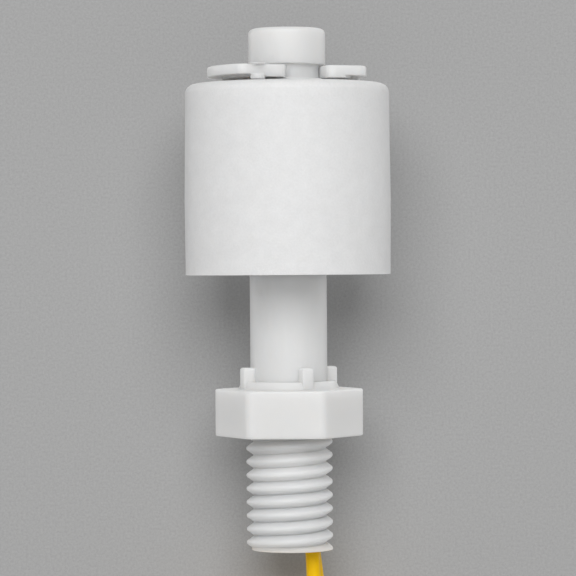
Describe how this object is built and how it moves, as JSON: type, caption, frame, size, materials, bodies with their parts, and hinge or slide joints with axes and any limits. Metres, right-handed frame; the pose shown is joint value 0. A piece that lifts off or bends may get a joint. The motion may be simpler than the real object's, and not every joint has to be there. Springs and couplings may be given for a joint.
{
  "type": "float level switch",
  "caption": "Vertical float level switch: a hollow ring float slides on a moulded stem with a hexagon and a mounting thread, and works a potted reed switch; insulated leads leave the thread.",
  "frame": {"origin": "centre of the hexagon's underside, the sealing face, on the stem's axis", "axes": "+Z along the stem from the sealing face towards the float; +Y away from the side on which the clip's mouth opens; +X completes the right-handed set"},
  "size_m": [0.023, 0.023, 0.1138],
  "materials": {
    "stem_plastic": "smooth moulded polypropylene, slightly translucent",
    "clip_plastic": "smooth moulded polypropylene",
    "float_plastic": "fine-grained moulded polypropylene",
    "ferrite": "sintered, dark grey",
    "reed_glass": "clear, faintly green",
    "reed_metal": "plated nickel-iron wire",
    "clear_sleeve": "smooth extruded sleeve",
    "solder": "bright solder",
    "shrink_sleeve": "black heat-shrink",
    "epoxy": "cast epoxy resin",
    "lead_insulation": "satin extruded PVC, yellow",
    "tie_plastic": "natural nylon",
    "tinned_copper": "tinned stranded wire"
  },
  "bodies": {
    "stem": {"stem_body": "stem_plastic", "retaining_clip": "clip_plastic", "reed_capsule": "reed_glass", "reed_blade_lower": "reed_metal", "reed_blade_upper": "reed_metal", "return_sleeve": "clear_sleeve", "solder_joint_a": "solder", "shrink_sleeve_a": "shrink_sleeve", "solder_joint_b": "solder", "shrink_sleeve_b": "shrink_sleeve", "potting": "epoxy", "lead_a": "lead_insulation", "lead_b": "lead_insulation", "lead_hank": "lead_insulation", "hank_tie": "tie_plastic", "lead_tail_a": "lead_insulation", "lead_tail_b": "lead_insulation", "conductor_tip_a": "tinned_copper", "conductor_tip_b": "tinned_copper"},
    "magnet": {"ring_magnet": "ferrite"},
    "float": {"float_shell": "float_plastic", "float_end_cap": "float_plastic"}
  },
  "joints": [
    {"name": "float_slide", "type": "slide", "parent": "stem", "child": "magnet", "axis": [0, 0, 1], "range_m": [-0.0102, 0.0002]},
    {"name": "float_spin", "type": "hinge", "parent": "magnet", "child": "float", "pos_m": [0, 0, 0.018], "axis": [0, 0, 1], "continuous": true}
  ]
}
